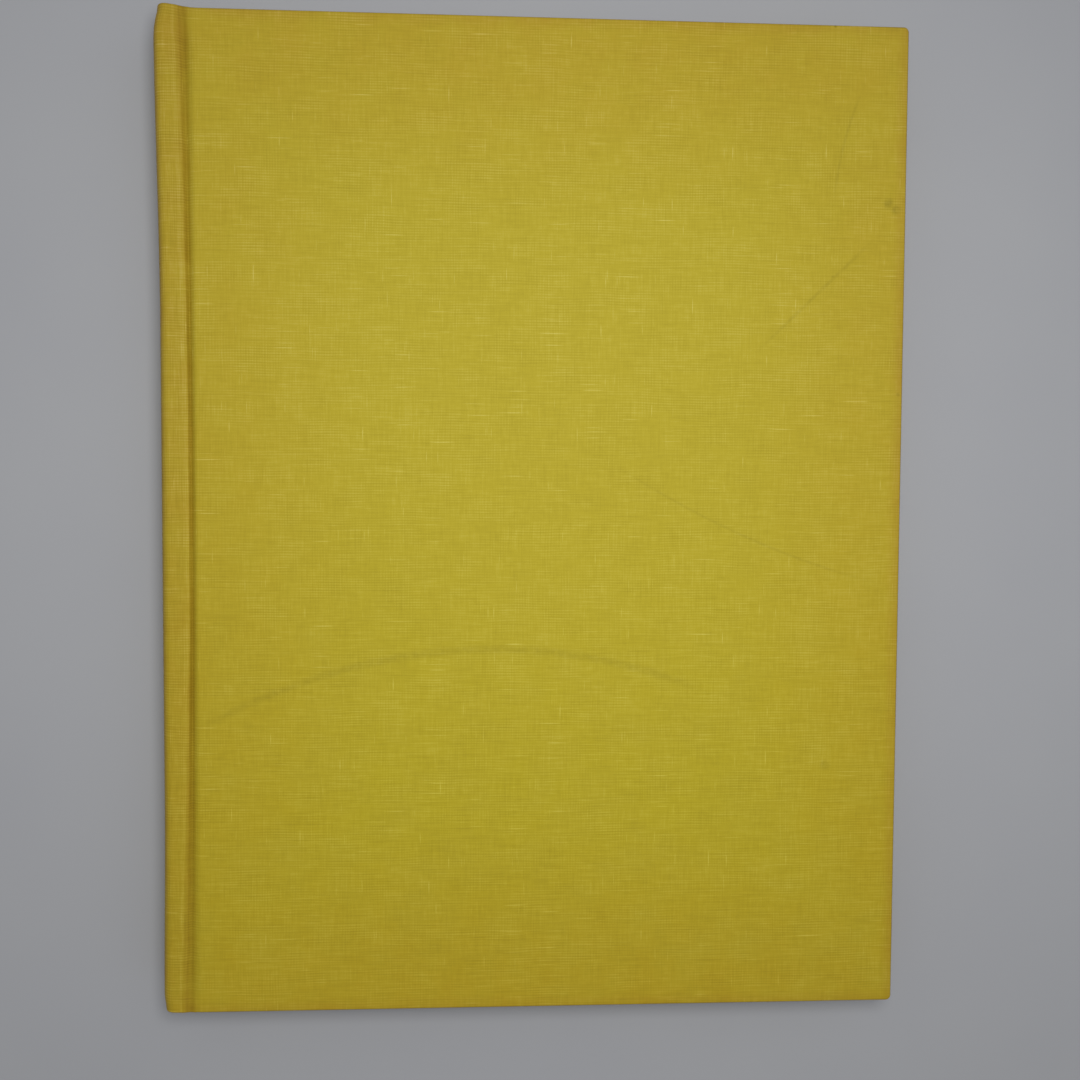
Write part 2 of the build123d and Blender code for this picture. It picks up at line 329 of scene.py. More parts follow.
    # the ridge beside the groove is painted paler: a painted highlight where it faces the light, with some rubbing
    crestWearAndHighlight = offFrom(tree, fromGroove, -look["crestAt"])
    crestWearAndHighlight = addNode(tree, "ShaderNodeMapRange", {0: crestWearAndHighlight, 1: 1.3, 2: 0.2, 3: 0.0, 4: look["crestWearAndHighlight"]}, **smooth)
    tone = addNode(tree, "ShaderNodeMath", {0: tone, 1: crestWearAndHighlight}, operation="ADD")
    ramp = addNode(tree, "ShaderNodeValToRGB", {0: tone})
    ramp.color_ramp.elements[0].color = linear(look["deep"])
    ramp.color_ramp.elements[1].color = linear(look["pale"])
    ramp.color_ramp.elements.new(0.5).color = linear(look["body"])
    colour = ramp.outputs["Color"]
    # age and handling, with painted shade: a wide tan margin, then the spine, the groove and the outer few
    # millimetres; the margin, the tail, the spine's rounding, the groove and the edge line are darkened partly as
    # painted shade
    uneven = addNode(tree, "ShaderNodeTexNoise", {"Vector": at, "Scale": look["blotchesPerMm"], "Detail": 4.0,
                                                  "Roughness": 0.6})
    uneven = addNode(tree, "ShaderNodeMapRange", {0: uneven, 1: 0.3, 2: 0.7, 3: 0.6, 4: 1.1})
    offGroove = addNode(tree, "ShaderNodeMath", {0: fromGroove}, operation="ABSOLUTE")
    # the groove is painted darker and browner: painted shade with some dirt, most on its floor, more where the
    # groove is shallow and casts less shade of its own, and none on the turned-in cloth
    turnedIn = addNode(tree, "ShaderNodeMapRange", {0: upright, 1: 155.5, 2: 157.5, 3: 0.0, 4: 6.0})
    offGroove = addNode(tree, "ShaderNodeMath", {0: offGroove, 1: turnedIn}, operation="ADD")
    grooveFloorShade = addNode(tree, "ShaderNodeMapRange", {0: offGroove, 1: look["grooveWide"], 2: 0.0}, **smooth)
    shallow = addNode(tree, "ShaderNodeMapRange", {0: upright, 1: 20.0, 2: 60.0, 3: look["shallowShade"], 4: 1.0})
    grooveFloorShade = addNode(tree, "ShaderNodeMath", {0: grooveFloorShade, 1: shallow}, operation="MULTIPLY")
    # the rounding between spine and cover, and the outermost line of the edges, are painted darker: painted shade
    # where they turn away from the light, with some soil
    offShoulder = offFrom(tree, across, runOf["corner"][-1] - look["shoulder"])
    offEdge = look["foreEdge"]
    for axis, edge in ((upright, look["half"]), (across, look["foreEdge"])):
        far = offFrom(tree, axis, edge + 0.1)
        offEdge = addNode(tree, "ShaderNodeMath", {0: offEdge, 1: far}, operation="MINIMUM")
    washes = [  # where, from, to, share, tint
        # a wide tan margin, darker towards the cover's edges: partly age, partly painted shade for the light
        # falling off
        [(across, 55.0, 125.0, 0.7), (across, -40.0, -112.0, 0.6), (upright, 85.0, 160.0, 0.9), "tanAndShadeTint"],
        [(across, look["foreEdge"] - look["margin"], look["foreEdge"] + 0.5, 0.75),
         (upright, look["half"] - look["margin"], look["half"] + 0.5, 0.5),
         (fromGroove, cover, spine, 0.45), "wornTint"],
        # painted shade: less blue towards the tail, the cloth's tone where the light is weaker and its sheen is
        # gone
        [(y, 90.0, -120.0, 1.0), "tailShadeTint"],
        # painted shade with some soil: the rounding between spine and cover
        [(offShoulder, 2.6, 0.2, 0.8), "spineSoilAndShadeTint"],
        # painted shade with some dirt: the groove and its floor
        [(offGroove, 2.3, 0.3, 1.0), "grooveDirtAndShadeTint"],
        [(grooveFloorShade, 0.0, 1.0, 1.0), "grooveFloorDirtAndShadeTint"],
        # painted shade with some soil: the outermost line of the edges
        [(offEdge, 0.6, 0.1, 1.0), "edgeSoilAndShadeTint"],
    ]
    for wash in washes:
        amount = 0.0
        for axis, start, end, share in wash[:-1]:
            near = addNode(tree, "ShaderNodeMapRange", {0: axis, 1: start, 2: end, 3: 0.0, 4: share}, **smooth)
            amount = addNode(tree, "ShaderNodeMath", {0: amount, 1: near}, operation="MAXIMUM")
        amount = addNode(tree, "ShaderNodeMath", {0: amount, 1: uneven}, operation="MULTIPLY", use_clamp=True)
        colour = addNode(tree, "ShaderNodeMix", {0: amount, 6: colour, 7: linear(look[wash[-1]])}, data_type="RGBA",
                         blend_type="MULTIPLY").outputs[2]
    # scuffs and spots on the front cover
    broken = addNode(tree, "ShaderNodeTexNoise", {"Vector": at, "Scale": look["breaksPerMm"], "Detail": 3.0,
                                                  "Roughness": 0.7})
    broken = addNode(tree, "ShaderNodeMapRange", {0: broken, 1: 0.32, 2: 0.62, 3: 0.25, 4: 1.0})
    dark = 0.0
    for mark in clothMarks:
        a, b, c = mark["line"]
        run, level = (y, x) if mark.get("upright") else (x, y)
        inner = addNode(tree, "ShaderNodeMath", {0: run, 1: c, 2: b}, operation="MULTIPLY_ADD")
        line = addNode(tree, "ShaderNodeMath", {0: run, 1: inner, 2: a}, operation="MULTIPLY_ADD")
        off = offFrom(tree, level, line)
        width = mark["wide"] * mark["slope"]
        on = addNode(tree, "ShaderNodeMapRange", {0: off, 1: width, 2: 0.1 * width, 3: 0.0, 4: mark["dark"]},
                     **smooth)
        low, high = mark["span"]
        for start, end in ((low, low + mark["fade"]), (high, high - mark["fade"])):
            reach = addNode(tree, "ShaderNodeMapRange", {0: run, 1: start, 2: end}, **smooth)
            on = addNode(tree, "ShaderNodeMath", {0: on, 1: reach}, operation="MULTIPLY")
        dark = addNode(tree, "ShaderNodeMath", {0: dark, 1: on}, operation="MAXIMUM")
    for spotX, spotY, size, share in clothSpots:
        far = addNode(tree, "ShaderNodeVectorMath", {0: at, 1: (spotX, spotY, 0)},
                      operation="DISTANCE").outputs["Value"]
        on = addNode(tree, "ShaderNodeMapRange", {0: far, 1: size, 2: 0.2 * size, 3: 0.0, 4: share}, **smooth)
        dark = addNode(tree, "ShaderNodeMath", {0: dark, 1: on}, operation="MAXIMUM")
    dark = addNode(tree, "ShaderNodeMath", {0: dark, 1: broken}, operation="MULTIPLY")
    colour = addNode(tree, "ShaderNodeMix", {0: dark, 6: colour, 7: linear(look["soil"])},
                     data_type="RGBA").outputs[2]
    # threads and slubs stand up a little
    height = addNode(tree, "ShaderNodeMath", {0: weave, 1: look["weaveRise"], 2: slub}, operation="MULTIPLY_ADD")
    setLook(tree, shader, colour, height, look["threadHeight"], look["bump"])
    return material


bookCloth = makeClothMaterial()
print("book cloth material made")


# offset along the sheet's end and depth below the outer face
def edgeRing(depth, topRadius, footRadius, turn, lead):
    ring = [(-lead, 0.0)]
    for angle in (math.pi / 2 * k / 6 for k in range(7)):
        ring.append((-topRadius * (1 - math.sin(angle)), topRadius * (1 - math.cos(angle))))
    ring.append((0.0, (topRadius + depth - footRadius) / 2))
    for angle in (math.pi / 2 * k / 4 for k in range(5)):
        ring.append((-footRadius * (1 - math.cos(angle)), depth - footRadius * (1 - math.sin(angle))))
    return ring + [(-(footRadius + (turn - footRadius) * s), depth) for s in (0.1, 0.3, 0.6, 1.0)]


def skin(mesh, sheetUv, rows, flip):  # faces over a grid of (place, sheet place)
    made = [[mesh.verts.new(spot) for spot, _ in row] for row in rows]
    for j in range(len(rows) - 1):
        for i in range(len(rows[0]) - 1):
            corners = [(j, i), (j, i + 1), (j + 1, i + 1), (j + 1, i)]
            if flip:
                corners.reverse()
            face = mesh.faces.new([made[a][b] for a, b in corners])
            face.smooth = True
            for loop, (a, b) in zip(face.loops, corners):
                loop[sheetUv].uv = rows[a][b][1]


def makeCaseHalf(name, side):  # side is 1 for the front and -1 for the back
    c = caseCloth
    mesh = bmesh.new()
    sheetUv = mesh.loops.layers.uv.new("clothSheet")
    half, lead, outer = c["half"], c["planRadius"], c["outer"]
    count = len(crisp)
    labels = [p[2] for p in crisp]

    def sheetAt(path, v):  # the back half is the front half mirrored about the spine's middle
        flatX = path if side > 0 else 2 * spineMiddle - path
        return (flatX * mm, v * mm)

    firstCorner = labels.index("corner")
    spineShare = [1.0 - ease(k, firstCorner + 4, labels.index("ridge") + 2) for k in range(count)]

    def columnAt(y):  # the section at a height up the book, with the spine's small lean and flare
        end, up = spineEnds["head" if y > 0 else "tail"], abs(y)
        soft = min(1.0, max(0.0, (up - spineEnds["fadeFrom"]) / end["fadeRun"])) ** end["fadePower"]
        line = sectionAt(soft)
        lean = spineEnds["lean"] - end["lean"] * ease(up, end["leanFrom"], spineEnds["leanTo"])
        tuck = end["tuck"] * max(0.0, (up - end["tuckFrom"]) / end["tuckRun"]) ** 2
        flare = (1 if y > 0 else -1) * end["flare"] * ease(up, end["flareFrom"], half - lead)
        close = ease(up, spineEnds["fillFrom"], half - lead)  # close to the ends the groove fills up
        column = []
        for (u, v, label), share in zip(line, spineShare):
            if label in ("ridge", "foot", "rear"):
                v += (outer - v) * spineEnds["fill"] * close
            column.append((u + (lean + tuck) * share, v, y + flare * (1 - ease(u, *spineEnds["flareAcross"]))))
        return column

    def sheetSpot(u, v, y):
        return place(u, side * v, y)

    # rows up the book, closer together near head and tail
    upper = [k * 4.0 for k in range(1, 26)] + [102 + k * 2.5 for k in range(19)]
    upper += [149.5, 151.5, 153.0, half - lead]
    heights = [-y for y in reversed(upper)] + [0.0] + upper
    grid = [[(sheetSpot(*p), sheetAt(spineMiddle + a, y)) for p, a in zip(columnAt(y), clothRun)] for y in heights]
    skin(mesh, sheetUv, grid, side < 0)
    # the folded ends of the spine and joints
    for end in (1, -1):
        base = columnAt(end * (half - lead))
        ends = []
        for k in range(count):
            u, v, y = base[k]
            before, after = base[max(0, k - 1)], base[min(count - 1, k + 1)]
            step = Vector((after[0] - before[0], after[1] - before[1])).normalized()
            inward = Vector((0, -1)) if labels[k] in ("rear", "top", "shoulder") else Vector((step.y, -step.x))
            # folded over the inlay at the spine, folded double in the joint, and round the board beyond
            onInlay = 1.0 - ease(k, firstCorner - 3, firstCorner + 2)
            depth = c["jointFold"] + (c["spineFold"] - c["jointFold"]) * onInlay
            turn = c["jointTurn"] + (c["turnIn"] - c["jointTurn"]) * onInlay
            if labels[k] in ("rear", "top"):
                share = ease(u, c["boardFrom"], c["boardTo"])
                depth += (v - c["inner"] - depth) * share
                turn += (c["turnIn"] - turn) * share
            top, foot = min(c["edgeRadius"], depth / 2), min(c["turnRadius"], depth / 2)
            ring = edgeRing(depth, top, foot, turn, lead)
            run, column = 0.0, []
            for r, (offset, down) in enumerate(ring):
                if r:
                    run += math.dist(ring[r], ring[r - 1])
                column.append((sheetSpot(u + inward.x * down, v + inward.y * down, y + end * (lead + offset)),
                               sheetAt(spineMiddle + clothRun[k], end * (half - lead + run))))
            ends.append(column)
        skin(mesh, sheetUv, [list(row) for row in zip(*ends)], (side < 0) != (end < 0))
    # the flat of the cover
    first, last = c["topStart"], c["foreEdge"] - lead
    columns = [first + (last - first) * k / c["columns"] for k in range(c["columns"] + 1)]
    flat = [[(sheetSpot(u, outer, y), sheetAt(book["spineX"] + u, y)) for u in columns] for y in heights]
    skin(mesh, sheetUv, flat, side < 0)
    # round the tail, fore-edge and head, and turned in over the board with mitred corners
    stations = [((u, -half + lead), -90.0) for u in columns]
    stations += [((last, -half + lead), -90.0 + 15 * k) for k in range(1, 6)]
    stations += [((last, y), 0.0) for y in heights]
    stations += [((last, half - lead), 15.0 * k) for k in range(1, 6)]
    stations += [((u, half - lead), 90.0) for u in reversed(columns)]
    ring = edgeRing(outer - c["inner"], c["edgeRadius"], c["turnRadius"], c["turnIn"], lead)
    rim = []
    for (u, y), angle in stations:
        outX, outY = math.cos(math.radians(angle)), math.sin(math.radians(angle))
        run, strip = 0.0, []
        for r, (offset, down) in enumerate(ring):
            if r:
                run += math.dist(ring[r], ring[r - 1])
            reach = lead + offset
            spotU, spotY = u + outX * max(reach, 0), y + outY * max(reach, 0)
            if reach < 0:  # past the corner's centre the turn-in runs to the mitre
                if angle in (-90.0, 90.0):
                    spotU, spotY = min(u, last + reach), y + outY * reach
                elif angle == 0.0:
                    spotU, spotY = u + reach, max(-half + lead - reach, min(half - lead + reach, y))
                else:
                    spotU, spotY = u + reach, y + math.copysign(reach, -y)
            onSheet = sheetAt(book["spineX"] + u + outX * run, y + outY * run)
            strip.append((sheetSpot(spotU, outer - down, spotY), onSheet))
        rim.append(strip)
    skin(mesh, sheetUv, [list(row) for row in zip(*rim)], side > 0)
    bmesh.ops.remove_doubles(mesh, verts=mesh.verts, dist=c["mergeGap"] * mm)
    bmesh.ops.dissolve_degenerate(mesh, edges=mesh.edges, dist=c["sliver"] * mm)
    for edge in mesh.edges:  # the cut edges stay sharp, so that the halves meet without a line
        edge.smooth = not edge.is_boundary
    return finishSheet(name, mesh, c["thickness"], bookCloth)


frontCase = makeCaseHalf("front_case_cloth", 1)
backCase = makeCaseHalf("back_case_cloth", -1)
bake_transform(frontCase)
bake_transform(backCase)
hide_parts("front_cloth", "spine_cloth")
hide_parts("back_cloth", "spine_cloth")
print("case cloth made,", len(frontCase.data.polygons) + len(backCase.data.polygons), "faces")

# wood-free endpaper, uncoated: nearly white and matt, a little yellow towards its edges, with faint fibres
paperLook = {"body": "#e3ddcb", "aged": "#cfc3a0", "fibre": 1.6, "cloud": 38.0, "edgeAge": 0.45,
             "fibreHeight": 0.03, "bump": 0.25}


def makePaperMaterial():
    material, tree, shader = newMaterial("uncoatedEndpaper", roughness=0.9, specular=0.25)
    where = addNode(tree, "ShaderNodeTexCoord").outputs["Object"]
    at = addNode(tree, "ShaderNodeVectorMath", {0: where, "Scale": 1 / mm}, operation="SCALE")
    cloud = addNode(tree, "ShaderNodeTexNoise", {"Vector": at, "Scale": 1 / paperLook["cloud"], "Detail": 4.0})
    fibre = addNode(tree, "ShaderNodeTexNoise", {"Vector": at, "Scale": 1 / paperLook["fibre"], "Detail": 3.0,
                                                 "Roughness": 0.7})
    split = addNode(tree, "ShaderNodeSeparateXYZ", {0: at})
    upright = addNode(tree, "ShaderNodeMath", {0: split.outputs["Y"]}, operation="ABSOLUTE")
    ends = addNode(tree, "ShaderNodeMapRange", {0: upright, 1: 128.0, 2: 154.0, 3: 0.0, 4: paperLook["edgeAge"]},
                   **smooth)
    side = addNode(tree, "ShaderNodeMapRange", {0: split.outputs["X"], 1: 90.0, 2: 115.0, 3: 0.0,
                                                4: paperLook["edgeAge"]}, **smooth)
    aged = addNode(tree, "ShaderNodeMath", {0: ends, 1: side}, operation="MAXIMUM")
    aged = addNode(tree, "ShaderNodeMath", {0: cloud, 1: 0.35, 2: aged}, operation="MULTIPLY_ADD")
    aged = addNode(tree, "ShaderNodeMath", {0: fibre, 1: 0.12, 2: aged}, operation="MULTIPLY_ADD", use_clamp=True)
    colour = addNode(tree, "ShaderNodeMix", {0: aged, 6: linear(paperLook["body"]), 7: linear(paperLook["aged"])},
                     data_type="RGBA").outputs[2]
    setLook(tree, shader, colour, fibre, paperLook["fibreHeight"], paperLook["bump"])
    return material


endpaper = makePaperMaterial()

# pastedowns with the strip that crosses the joint to the fold; the turn-ins show through as a low step
pastedown = {"fold": 0.12, "face": 7.25, "thickness": 0.2, "step": 0.09, "turnIn": 11.5, "stepRun": 0.8}


def makePastedown(name, side):
    p = pastedown
    wide, half = book["pageWidth"], book["pageHalf"]
    nearStep = [p["turnIn"] + p["stepRun"] * s for s in (-0.5, -0.2, 0.0, 0.2, 0.5)]
    columns = [p["fold"] + 0.3 * k for k in range(18)] + [6.0, 7.0, 8.0, 9.0, 10.5]  # close together at the joint
    columns += [12 + k * 9.0 for k in range(23)] + [wide - s for s in reversed(nearStep)] + [wide - 5, wide]
    rows = [-half, -half + 5] + [-half + s for s in nearStep] + [-132 + 12 * k for k in range(23)]
    rows += [half - s for s in reversed(nearStep)] + [half - 5, half]
    stepFrom, stepTo = p["turnIn"] - p["stepRun"] / 2, p["turnIn"] + p["stepRun"] / 2
    mesh = bmesh.new()
    made = []
    for y in rows:
        row = []
        for u in columns:
            inset = min(wide - u, half - abs(y))
            row.append(mesh.verts.new(place(u, side * (p["face"] + p["step"] * ease(inset, stepFrom, stepTo)), y)))
        made.append(row)
    for j in range(len(rows) - 1):
        for i in range(len(columns) - 1):
            corners = [made[j][i], made[j + 1][i], made[j + 1][i + 1], made[j][i + 1]]
            mesh.faces.new(corners if side > 0 else corners[::-1]).smooth = True
    return finishSheet(name, mesh, p["thickness"] - p["step"], endpaper)


for side, cover in ((1, "front"), (-1, "back")):
    sheet = makePastedown(cover + "_endpaper", side)
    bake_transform(sheet)
    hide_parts(cover + "_pastedown")
    dress(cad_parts[cover + "_flyleaf"], endpaper)
print("endpapers made")

# coated book paper cut by guillotine: smooth, with leaf edges that differ a little in tone and collect dust
pageLook = {"body": "#dcd5c3", "shade": "#b3a88e", "dust": 14.0, "dustRise": 0.6}


def makePageMaterial():
    material, tree, shader = newMaterial("guillotinedBookPaper", roughness=0.75, specular=0.3)
    tone = addNode(tree, "ShaderNodeAttribute", attribute_name="leafTone").outputs["Fac"]
    where = addNode(tree, "ShaderNodeTexCoord").outputs["Object"]
    at = addNode(tree, "ShaderNodeVectorMath", {0: where, "Scale": 1 / mm}, operation="SCALE")
    scale = [1 / pageLook[size] for size in ("dust", "dust", "dustRise")]
    stretched = addNode(tree, "ShaderNodeVectorMath", {0: at, 1: scale}, operation="MULTIPLY")
    dust = addNode(tree, "ShaderNodeTexNoise", {"Vector": stretched, "Scale": 1.0, "Detail": 4.0, "Roughness": 0.6})
    mixed = addNode(tree, "ShaderNodeMath", {0: dust, 1: 0.5, 2: -0.15}, operation="MULTIPLY_ADD")
    mixed = addNode(tree, "ShaderNodeMath", {0: tone, 1: 0.55, 2: mixed}, operation="MULTIPLY_ADD", use_clamp=True)
    colour = addNode(tree, "ShaderNodeMix", {0: mixed, 6: linear(pageLook["body"]), 7: linear(pageLook["shade"])},
                     data_type="RGBA").outputs[2]
    tree.links.new(colour, shader.inputs["Base Color"])
    return material


bookPaper = makePageMaterial()

# leaves: a stack that bulges at the sewn spine and is hollow at the fore-edge, sewn in sections of eight leaves
leaves = {"Leaves": 120, "Section": 8, "Width": 0.228, "Height": 0.3048, "Stack": 0.014, "Arc": 0.021017,
          "Leaf Share": 0.86, "Sway": 0.00011, "Leaf Sway": 0.00005, "Seed": 7}


def makeLeafTree():
    tree, given = newTree("leafStack", [("Leaves", "Int"), ("Section", "Int"), ("Width", "Float"),
                                        ("Height", "Float"), ("Stack", "Float"), ("Arc", "Float"),
                                        ("Leaf Share", "Float"), ("Sway", "Float"), ("Leaf Sway", "Float"),
                                        ("Seed", "Int"), ("Paper", "Material")])
    pitch = addNode(tree, "ShaderNodeMath", {0: given["Stack"], 1: given["Leaves"]}, operation="DIVIDE")
    low = addNode(tree, "ShaderNodeMath", {0: pitch, 1: 0.5}, operation="MULTIPLY")
    low = addNode(tree, "ShaderNodeMath", {0: given["Stack"], 1: -0.5, 2: low}, operation="MULTIPLY_ADD")
    start = addNode(tree, "ShaderNodeCombineXYZ", {"Z": low})
    step = addNode(tree, "ShaderNodeCombineXYZ", {"Z": pitch})
    pile = addNode(tree, "GeometryNodeMeshLine", {"Count": given["Leaves"], "Start Location": start,
                                                  "Offset": step}, mode="OFFSET")
    index = addNode(tree, "GeometryNodeInputIndex")
    ratio = addNode(tree, "ShaderNodeMath", {0: index, 1: given["Section"]}, operation="DIVIDE")
    section = addNode(tree, "ShaderNodeMath", {0: ratio}, operation="FLOOR")
    # the back of the pile is an arc: how far each leaf stands back from its edge
    position = addNode(tree, "GeometryNodeInputPosition")
    rise = addNode(tree, "ShaderNodeSeparateXYZ", {0: position}).outputs["Z"]
    halfStack = addNode(tree, "ShaderNodeMath", {0: given["Stack"], 1: 0.5}, operation="MULTIPLY")
    arcSquare = addNode(tree, "ShaderNodeMath", {0: given["Arc"], 1: given["Arc"]}, operation="MULTIPLY")
    chords = []
    for height in (halfStack, rise):
        square = addNode(tree, "ShaderNodeMath", {0: height, 1: height}, operation="MULTIPLY")
        rest = addNode(tree, "ShaderNodeMath", {0: arcSquare, 1: square}, operation="SUBTRACT")
        chords.append(addNode(tree, "ShaderNodeMath", {0: rest}, operation="SQRT"))
    back = addNode(tree, "ShaderNodeMath", {0: chords[0], 1: chords[1]}, operation="SUBTRACT")
    sways = []
    for extra in (0, 1):
        seed = addNode(tree, "ShaderNodeMath", {0: given["Seed"], 1: extra}, operation="ADD")
        whole = addNode(tree, "FunctionNodeRandomValue", {2: -1.0, 3: 1.0, "ID": section, "Seed": seed},
                        data_type="FLOAT").outputs[1]
        single = addNode(tree, "FunctionNodeRandomValue", {2: -1.0, 3: 1.0, "ID": index, "Seed": seed},
                         data_type="FLOAT").outputs[1]
        part = addNode(tree, "ShaderNodeMath", {0: single, 1: given["Leaf Sway"]}, operation="MULTIPLY")
        sways.append(addNode(tree, "ShaderNodeMath", {0: whole, 1: given["Sway"], 2: part},
                             operation="MULTIPLY_ADD"))
    along = addNode(tree, "ShaderNodeMath", {0: back, 1: sways[0]}, operation="ADD")
    move = addNode(tree, "ShaderNodeCombineXYZ", {"X": along, "Y": sways[1]})
    pile = addNode(tree, "GeometryNodeSetPosition", {"Geometry": pile, "Offset": move})
    thick = addNode(tree, "ShaderNodeMath", {0: pitch, 1: given["Leaf Share"]}, operation="MULTIPLY")
    size = addNode(tree, "ShaderNodeCombineXYZ", {"X": given["Width"], "Y": given["Height"], "Z": thick})
    leaf = addNode(tree, "GeometryNodeMeshCube", {"Size": size})
    aside = addNode(tree, "ShaderNodeMath", {0: given["Width"], 1: 0.5}, operation="MULTIPLY")
    aside = addNode(tree, "ShaderNodeCombineXYZ", {"X": aside})
    leaf = addNode(tree, "GeometryNodeTransform", {"Geometry": leaf, "Translation": aside})
    stack = addNode(tree, "GeometryNodeInstanceOnPoints", {"Points": pile, "Instance": leaf})
    byLeaf = addNode(tree, "FunctionNodeRandomValue", {2: 0.0, 3: 0.6, "ID": index, "Seed": 3},
                     data_type="FLOAT").outputs[1]
    bySection = addNode(tree, "FunctionNodeRandomValue", {2: 0.0, 3: 0.4, "ID": section, "Seed": 4},
                        data_type="FLOAT").outputs[1]
    tone = addNode(tree, "ShaderNodeMath", {0: byLeaf, 1: bySection}, operation="ADD")
    stack = addNode(tree, "GeometryNodeStoreNamedAttribute", {"Geometry": stack, "Name": "leafTone", "Value": tone},
                    data_type="FLOAT", domain="INSTANCE")
    stack = addNode(tree, "GeometryNodeRealizeInstances", {0: stack})
    stack = addNode(tree, "GeometryNodeSetMaterial", {"Geometry": stack, "Material": given["Paper"]})
    addNode(tree, "NodeGroupOutput", {0: stack})
    return tree


leafBlock = growPiece("leaf_block", makeLeafTree(), dict(leaves, Paper=bookPaper))
leafBlock.data.transform(Matrix.Translation(place(0, 0, 0)))
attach(leafBlock, "text_block")
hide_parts("text_block")
print("leaf block made,", len(leafBlock.data.polygons), "faces")

# head and tail bands: cotton thread wound round a cord in two colours
bandLook = {"yellow": "#b3932f", "white": "#d9d0b6", "ply": 0.35, "plyHeight": 0.04, "bump": 0.4, "stand": 0.93}
bandThread = {"Radius": 0.020617, "Half Angle": 0.2995, "Bead": 0.00092, "Thread": 0.00017, "Turns": 37,
              "Stripe": 3}


def makeBandMaterial():
    material, tree, shader = newMaterial("twistedCottonThread", roughness=0.8, specular=0.25, sheen=0.1)
    stripe = addNode(tree, "ShaderNodeAttribute", attribute_name="stripe").outputs["Fac"]
    where = addNode(tree, "ShaderNodeTexCoord").outputs["Object"]
    ply = addNode(tree, "ShaderNodeTexNoise", {"Vector": where, "Scale": 1 / (bandLook["ply"] * mm), "Detail": 2.0})
    colour = addNode(tree, "ShaderNodeMix", {0: stripe, 6: linear(bandLook["yellow"]),
                                             7: linear(bandLook["white"])}, data_type="RGBA").outputs[2]
    shade = addNode(tree, "ShaderNodeMapRange", {0: ply, 1: 0.3, 2: 0.7, 3: 0.72, 4: 1.08})
    colour = addNode(tree, "ShaderNodeVectorMath", {0: colour, "Scale": shade}, operation="SCALE").outputs[0]
    setLook(tree, shader, colour, ply, bandLook["plyHeight"], bandLook["bump"])
    return material


cottonThread = makeBandMaterial()


def makeBandTree():
    tree, given = newTree("woundBand", [("Radius", "Float"), ("Half Angle", "Float"), ("Bead", "Float"),
                                        ("Thread", "Float"), ("Turns", "Int"), ("Stripe", "Int"),
                                        ("Cotton", "Material")])
    first = addNode(tree, "ShaderNodeMath", {0: math.pi, 1: given["Half Angle"]}, operation="SUBTRACT")
    sweep = addNode(tree, "ShaderNodeMath", {0: given["Half Angle"], 1: 2.0}, operation="MULTIPLY")
    arc = addNode(tree, "GeometryNodeCurveArc", {"Resolution": 48, "Radius": given["Radius"], "Start Angle": first,
                                                 "Sweep Angle": sweep}, mode="RADIUS")
    spots = addNode(tree, "GeometryNodeCurveToPoints", {"Curve": arc, "Count": given["Turns"]}, mode="COUNT")
    hoop = addNode(tree, "GeometryNodeCurvePrimitiveCircle", {"Resolution": 14, "Radius": given["Bead"]},
                   mode="RADIUS")
    strand = addNode(tree, "GeometryNodeCurvePrimitiveCircle", {"Resolution": 6, "Radius": given["Thread"]},
                     mode="RADIUS")
    loop = addNode(tree, "GeometryNodeCurveToMesh", {"Curve": hoop, "Profile Curve": strand})
    wound = addNode(tree, "GeometryNodeInstanceOnPoints", {"Points": spots.outputs["Points"], "Instance": loop,
                                                           "Rotation": spots.outputs["Rotation"]})
    index = addNode(tree, "GeometryNodeInputIndex")
    group = addNode(tree, "ShaderNodeMath", {0: index, 1: given["Stripe"]}, operation="DIVIDE")
    group = addNode(tree, "ShaderNodeMath", {0: group}, operation="FLOOR")
    odd = addNode(tree, "ShaderNodeMath", {0: group, 1: 2.0}, operation="MODULO")
    wound = addNode(tree, "GeometryNodeStoreNamedAttribute", {"Geometry": wound, "Name": "stripe", "Value": odd},
                    data_type="FLOAT", domain="INSTANCE")
    wound = addNode(tree, "GeometryNodeRealizeInstances", {0: wound})
    wound = addNode(tree, "GeometryNodeSetShadeSmooth", {"Geometry": wound})
    wound = addNode(tree, "GeometryNodeSetMaterial", {"Geometry": wound, "Material": given["Cotton"]})
    addNode(tree, "NodeGroupOutput", {0: wound})
    return tree


bandTree = makeBandTree()
for end, name in ((1, "head"), (-1, "tail")):
    thread = growPiece(name + "_band_thread", bandTree, dict(bandThread, Cotton=cottonThread))
    for vertex in thread.data.vertices:  # the arc was made lying down, and stands across the spine
        x, y, z = vertex.co / mm
        vertex.co = place(caseCloth["arcCentre"] + x, y, end * (book["pageHalf"] + bandLook["stand"]) - z)
    thread.data.flip_normals()
    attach(thread, "text_block")
    dress(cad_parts[name + "_band"], cottonThread)
print("bands wound")


# what is inside: grey millboard, kraft card and gauze, each with its own fibre
def makeFibreMaterial(name, body, shade, size, stretch, roughness):
    material, tree, shader = newMaterial(name, roughness, specular=0.2)
    where = addNode(tree, "ShaderNodeTexCoord").outputs["Object"]
    scaled = addNode(tree, "ShaderNodeVectorMath", {0: where, 1: [1 / (size * mm * s) for s in stretch]},
                     operation="MULTIPLY")
    fibre = addNode(tree, "ShaderNodeTexNoise", {"Vector": scaled, "Scale": 1.0, "Detail": 5.0, "Roughness": 0.65})
    share = addNode(tree, "ShaderNodeMapRange", {0: fibre, 1: 0.3, 2: 0.7})
    colour = addNode(tree, "ShaderNodeMix", {0: share, 6: linear(body), 7: linear(shade)},
                     data_type="RGBA").outputs[2]
    setLook(tree, shader, colour, fibre, rise=0.08, bump=0.4)
    return material


